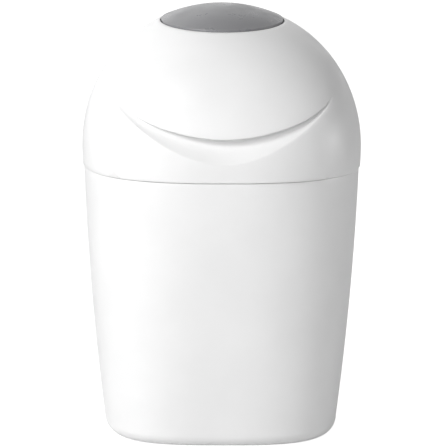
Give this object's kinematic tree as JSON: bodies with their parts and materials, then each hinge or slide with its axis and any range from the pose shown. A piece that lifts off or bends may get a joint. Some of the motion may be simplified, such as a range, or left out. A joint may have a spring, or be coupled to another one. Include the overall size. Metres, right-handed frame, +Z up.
{
  "type": "nappy bin",
  "caption": "Domed nappy bin: tapered tub, lift-out head with a twist ring and film cassette, and a hinged lid with a front finger scoop and a press-down plunger.",
  "frame": {"origin": "centre of the bin's footprint at floor level, on the tub's upright axis", "axes": "+Z up along the tub; -Y is the front, with the finger scoop; +X is the user's right"},
  "size_m": [0.272, 0.277, 0.4167],
  "materials": {
    "white_plastic": "smooth white moulding, low gloss",
    "inner_plastic": "fine matt moulding",
    "grey_plastic": "satin grey moulding",
    "soft_plastic": "matt, slightly soft",
    "seal_rubber": "matt elastomer",
    "cassette_plastic": "pale green moulding",
    "film": "gathered thin film",
    "steel": "plain steel"
  },
  "bodies": {
    "tub": {"tub": "white_plastic"},
    "head": {"head_housing": "inner_plastic", "hinge_pin": "steel", "lid_seal": "seal_rubber", "gripper_ring": "soft_plastic", "click_spring": "steel", "cutter_spring": "steel"},
    "ring": {"twist_ring": "grey_plastic"},
    "cassette": {"cassette_body": "cassette_plastic", "cassette_cap": "cassette_plastic", "film_pack": "film"},
    "cutter": {"cutter_slider": "soft_plastic", "cutter_blade": "steel"},
    "lid": {"lid_shell": "white_plastic", "lid_liner": "inner_plastic", "plunger_well": "inner_plastic", "liner_screw_1": "steel", "liner_screw_2": "steel", "liner_screw_3": "steel", "liner_screw_4": "steel", "well_screw_1": "steel", "well_screw_2": "steel", "well_screw_3": "steel", "well_screw_4": "steel", "plunger_spring": "steel"},
    "plunger": {"top_button": "grey_plastic", "plunger_stem": "inner_plastic", "presser_plate": "soft_plastic", "presser_screw": "steel"}
  },
  "joints": [
    {"name": "head_lift", "type": "slide", "parent": "tub", "child": "head", "axis": [0, 0, 1], "range_m": [0, 0.075]},
    {"name": "lid_hinge", "type": "hinge", "parent": "head", "child": "lid", "pos_m": [0, 0.1378, 0.264], "axis": [-1, 0, 0], "range_deg": [0, 100]},
    {"name": "plunger_press", "type": "slide", "parent": "lid", "child": "plunger", "axis": [0, 0.0698, -0.9976], "range_m": [0, 0.052], "stiffness_N_per_m": 200, "springref_m": -0.02, "deforming": ["plunger_spring"]},
    {"name": "twist_turn", "type": "hinge", "parent": "head", "child": "ring", "pos_m": [0, 0, 0.2366], "axis": [0, 0, 1], "continuous": true, "deforming": ["click_spring"]},
    {"name": "cassette_lift", "type": "slide", "parent": "ring", "child": "cassette", "axis": [0, 0, 1], "range_m": [0, 0.028]},
    {"name": "cutter_press", "type": "slide", "parent": "head", "child": "cutter", "axis": [0, 1, 0], "range_m": [0, 0.012], "stiffness_N_per_m": 250, "springref_m": -0.006, "deforming": ["cutter_spring"]}
  ]
}
